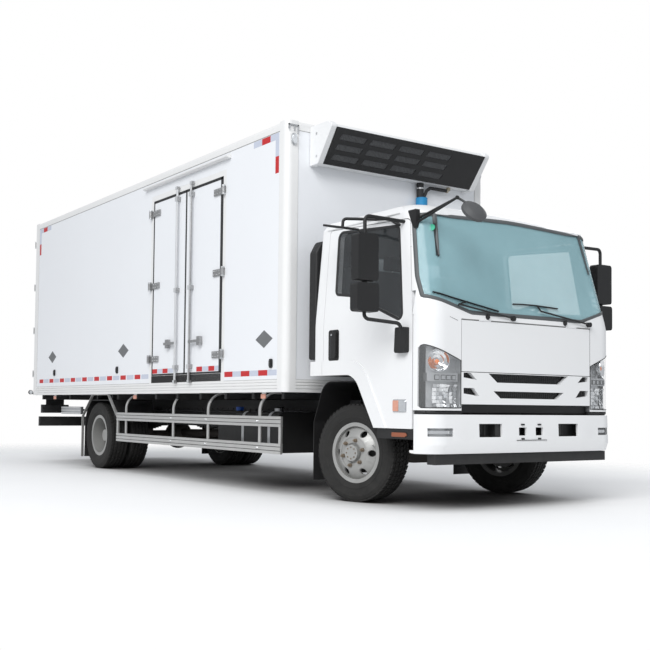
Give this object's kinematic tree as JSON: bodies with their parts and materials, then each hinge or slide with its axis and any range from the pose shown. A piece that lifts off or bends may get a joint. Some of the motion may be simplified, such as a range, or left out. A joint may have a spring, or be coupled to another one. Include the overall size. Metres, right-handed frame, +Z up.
{
  "type": "refrigerated truck",
  "caption": "Two-axle box truck with tilting cab, insulated body with side and rear swing doors, and a front-wall cooling unit.",
  "frame": {"origin": "on the ground under the middle of the overall length, on the truck's centre plane", "axes": "+X forward, +Y to the truck's left, +Z up"},
  "size_m": [8.4831, 2.855, 3.273],
  "materials": {
    "white_paint": "gloss",
    "panel_white": "satin",
    "frame_paint": "satin",
    "aluminium": "satin",
    "galvanised": "satin",
    "rim_paint": "satin",
    "black_plastic": "matt",
    "unit_white": "gloss",
    "tyre": "matt",
    "iron": "rough",
    "glass": "clear",
    "lamp": "clear",
    "tail_lamp": "gloss",
    "rubber": "matt",
    "seat_cloth": "woven",
    "interior": "matt"
  },
  "bodies": {
    "chassis": {"body_subframe": "galvanised", "box_edge_profiles": "aluminium", "box_floor": "panel_white", "box_rear_frame": "galvanised", "box_roof": "panel_white", "box_walls": "panel_white", "chassis_frame": "frame_paint", "engine_block": "iron", "fog_lamps": "lamp", "front_axle_beam": "frame_paint", "front_bumper": "white_paint", "front_mudguards": "black_plastic", "leaf_springs": "frame_paint", "rear_axle": "frame_paint", "rear_mudguards": "black_plastic", "refrigeration_unit": "unit_white", "side_door_frame": "aluminium", "side_guards": "aluminium", "side_tanks": "aluminium", "tail_lamps": "tail_lamp", "underrun_bars": "frame_paint", "unit_grille": "black_plastic", "unit_hoses": "rubber"},
    "cab": {"cab_shell": "white_paint", "cab_floor": "black_plastic", "dashboard": "interior", "seats": "seat_cloth", "cab_glass": "glass", "headlamps": "lamp", "grille_panel": "white_paint", "front_mirror": "black_plastic", "wipers": "black_plastic", "snorkel": "black_plastic"},
    "cab_door_left": {"cab_door_left": "white_paint", "door_glass_left": "glass", "mirror_left": "black_plastic"},
    "cab_door_right": {"cab_door_right": "white_paint", "door_glass_right": "glass", "mirror_right": "black_plastic"},
    "front_lid": {"front_lid": "white_paint"},
    "side_door_rear": {"side_door_rear": "panel_white", "side_door_rear_gear": "galvanised"},
    "side_door_front": {"side_door_front": "panel_white", "side_door_front_gear": "galvanised"},
    "rear_door_left": {"rear_door_left": "panel_white", "rear_door_left_gear": "galvanised"},
    "rear_door_right": {"rear_door_right": "panel_white", "rear_door_right_gear": "galvanised"},
    "knuckle_left": {"knuckle_left": "frame_paint"},
    "knuckle_right": {"knuckle_right": "frame_paint"},
    "front_wheel_left": {"front_tyre_left": "tyre", "front_rim_left": "rim_paint"},
    "front_wheel_right": {"front_tyre_right": "tyre", "front_rim_right": "rim_paint"},
    "rear_wheels_left": {"rear_tyres_left": "tyre", "rear_rims_left": "rim_paint"},
    "rear_wheels_right": {"rear_tyres_right": "tyre", "rear_rims_right": "rim_paint"}
  },
  "joints": [
    {"name": "cab_tilt", "type": "hinge", "parent": "chassis", "child": "cab", "pos_m": [3.8925, 0, 0.79], "axis": [0, 1, 0], "range_deg": [0, 45]},
    {"name": "front_lid_lift", "type": "hinge", "parent": "cab", "child": "front_lid", "pos_m": [3.9845, 0, 1.435], "axis": [0, -1, 0], "range_deg": [0, 75]},
    {"name": "cab_door_left_swing", "type": "hinge", "parent": "cab", "child": "cab_door_left", "pos_m": [3.7795, 1.015, 0.93], "axis": [0, 0, -1], "range_deg": [0, 70]},
    {"name": "cab_door_right_swing", "type": "hinge", "parent": "cab", "child": "cab_door_right", "pos_m": [3.7795, -1.015, 0.93], "axis": [0, 0, 1], "range_deg": [0, 70]},
    {"name": "side_door_rear_swing", "type": "hinge", "parent": "chassis", "child": "side_door_rear", "pos_m": [-0.4605, -1.189, 2.052], "axis": [0, 0, -1], "range_deg": [0, 165]},
    {"name": "side_door_front_swing", "type": "hinge", "parent": "chassis", "child": "side_door_front", "pos_m": [1.1555, -1.189, 2.052], "axis": [0, 0, 1], "range_deg": [0, 165]},
    {"name": "rear_door_left_swing", "type": "hinge", "parent": "chassis", "child": "rear_door_left", "pos_m": [-4.2355, 1.161, 2.1], "axis": [0, 0, -1], "range_deg": [0, 250]},
    {"name": "rear_door_right_swing", "type": "hinge", "parent": "chassis", "child": "rear_door_right", "pos_m": [-4.2355, -1.161, 2.1], "axis": [0, 0, 1], "range_deg": [0, 250]},
    {"name": "steer_left", "type": "hinge", "parent": "chassis", "child": "knuckle_left", "pos_m": [2.9075, 0.715, 0.4], "axis": [0, 0, 1], "range_deg": [-52, 24]},
    {"name": "steer_right", "type": "hinge", "parent": "chassis", "child": "knuckle_right", "pos_m": [2.9075, -0.715, 0.4], "axis": [0, 0, 1], "range_deg": [-52, 24]},
    {"name": "front_wheel_left_spin", "type": "hinge", "parent": "knuckle_left", "child": "front_wheel_left", "pos_m": [2.87605, 0.84114, 0.4], "axis": [-0.2419, 0.9703, 0], "continuous": true},
    {"name": "front_wheel_right_spin", "type": "hinge", "parent": "knuckle_right", "child": "front_wheel_right", "pos_m": [2.93895, -0.84114, 0.4], "axis": [-0.2419, 0.9703, 0], "continuous": true},
    {"name": "rear_wheels_left_spin", "type": "hinge", "parent": "chassis", "child": "rear_wheels_left", "pos_m": [-2.0775, 0.833, 0.4], "axis": [0, 1, 0], "continuous": true},
    {"name": "rear_wheels_right_spin", "type": "hinge", "parent": "chassis", "child": "rear_wheels_right", "pos_m": [-2.0775, -0.833, 0.4], "axis": [0, 1, 0], "continuous": true}
  ],
  "couplings": [
    {"joint": "steer_right", "follows": "steer_left", "ratio": 1}
  ]
}
